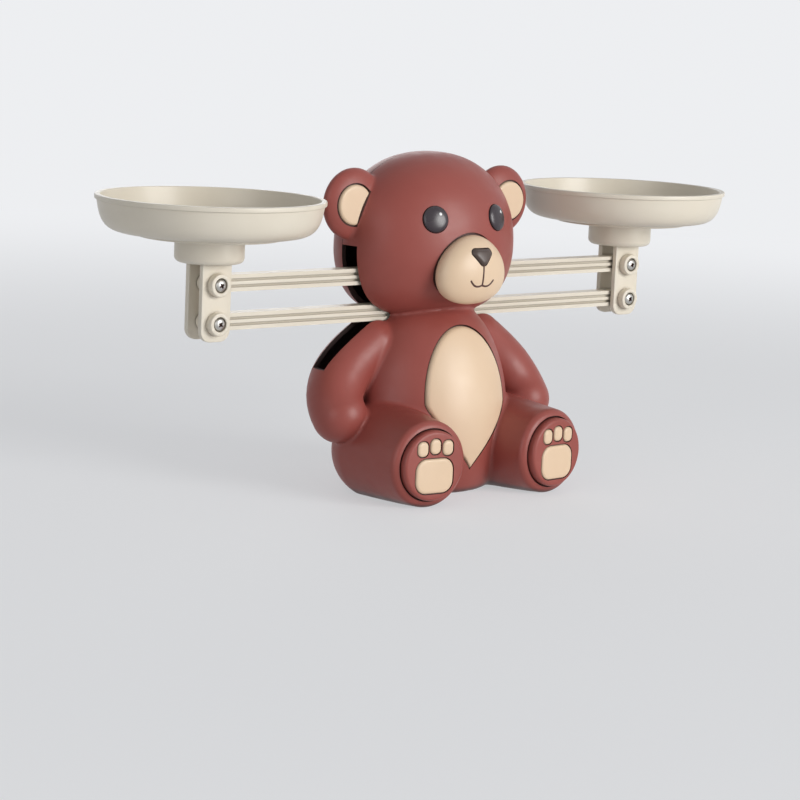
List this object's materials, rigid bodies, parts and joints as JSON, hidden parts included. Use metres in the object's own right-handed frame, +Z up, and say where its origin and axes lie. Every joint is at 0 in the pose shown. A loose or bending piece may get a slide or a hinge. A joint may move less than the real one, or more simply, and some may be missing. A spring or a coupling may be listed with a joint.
{
  "type": "toy balance scale",
  "caption": "Seated bear that carries a balance: twin parallel beams on pivots, forked supports at their ends, and shallow round pans.",
  "frame": {"origin": "on the bear's flat base, under the beams' pivots and in the plane of the beams", "axes": "+X along the beams, to the viewer's right; the bear faces -Y; +Z is up"},
  "size_m": [0.408, 0.1262, 0.1815],
  "materials": {
    "bear_brown": "reddish brown, satin moulded plastic",
    "cream_plastic": "cream, satin moulded plastic",
    "nose_dark": "dark grey-brown, satin",
    "eye_black": "black, polished",
    "ivory_plastic": "ivory, semi-gloss moulded plastic",
    "screw_steel": "zinc-plated steel"
  },
  "bodies": {
    "bear": {"front_shell": "bear_brown", "rear_shell": "bear_brown", "left_sole": "bear_brown", "right_sole": "bear_brown", "muzzle": "cream_plastic", "belly_panel": "cream_plastic", "left_ear_lining": "cream_plastic", "right_ear_lining": "cream_plastic", "left_main_pad": "cream_plastic", "right_main_pad": "cream_plastic", "left_outer_toe_pad": "cream_plastic", "left_middle_toe_pad": "cream_plastic", "left_inner_toe_pad": "cream_plastic", "right_outer_toe_pad": "cream_plastic", "right_middle_toe_pad": "cream_plastic", "right_inner_toe_pad": "cream_plastic", "nose": "nose_dark", "left_eye": "eye_black", "right_eye": "eye_black", "upper_pivot_pin": "screw_steel", "lower_pivot_pin": "screw_steel", "head_screw_left": "screw_steel", "head_screw_right": "screw_steel", "base_screw_left": "screw_steel", "base_screw_right": "screw_steel"},
    "upper_beam": {"upper_beam": "ivory_plastic"},
    "lower_beam": {"lower_beam": "ivory_plastic"},
    "left_support": {"left_pan_support": "ivory_plastic", "left_upper_pivot_screw": "screw_steel", "left_lower_pivot_screw": "screw_steel"},
    "left_pan": {"left_pan": "ivory_plastic"},
    "right_support": {"right_pan_support": "ivory_plastic", "right_upper_pivot_screw": "screw_steel", "right_lower_pivot_screw": "screw_steel"},
    "right_pan": {"right_pan": "ivory_plastic"}
  },
  "joints": [
    {"name": "upper_beam_swing", "type": "hinge", "parent": "bear", "child": "upper_beam", "pos_m": [0, 0, 0.1172], "axis": [0, 1, 0], "range_deg": [-10, 10]},
    {"name": "lower_beam_swing", "type": "hinge", "parent": "bear", "child": "lower_beam", "pos_m": [0, 0, 0.0973], "axis": [0, 1, 0], "range_deg": [-10, 10]},
    {"name": "left_support_pivot", "type": "hinge", "parent": "upper_beam", "child": "left_support", "pos_m": [-0.145, 0, 0.1157], "axis": [0, 1, 0], "range_deg": [-10, 10]},
    {"name": "right_support_pivot", "type": "hinge", "parent": "upper_beam", "child": "right_support", "pos_m": [0.145, 0, 0.1157], "axis": [0, 1, 0], "range_deg": [-10, 10]},
    {"name": "left_pan_lift", "type": "slide", "parent": "left_support", "child": "left_pan", "axis": [0, 0, 1], "range_m": [0, 0.02]},
    {"name": "right_pan_lift", "type": "slide", "parent": "right_support", "child": "right_pan", "axis": [0, 0, 1], "range_m": [0, 0.02]}
  ],
  "couplings": [
    {"joint": "lower_beam_swing", "follows": "upper_beam_swing", "ratio": 1},
    {"joint": "left_support_pivot", "follows": "upper_beam_swing", "ratio": -1},
    {"joint": "right_support_pivot", "follows": "upper_beam_swing", "ratio": -1}
  ]
}
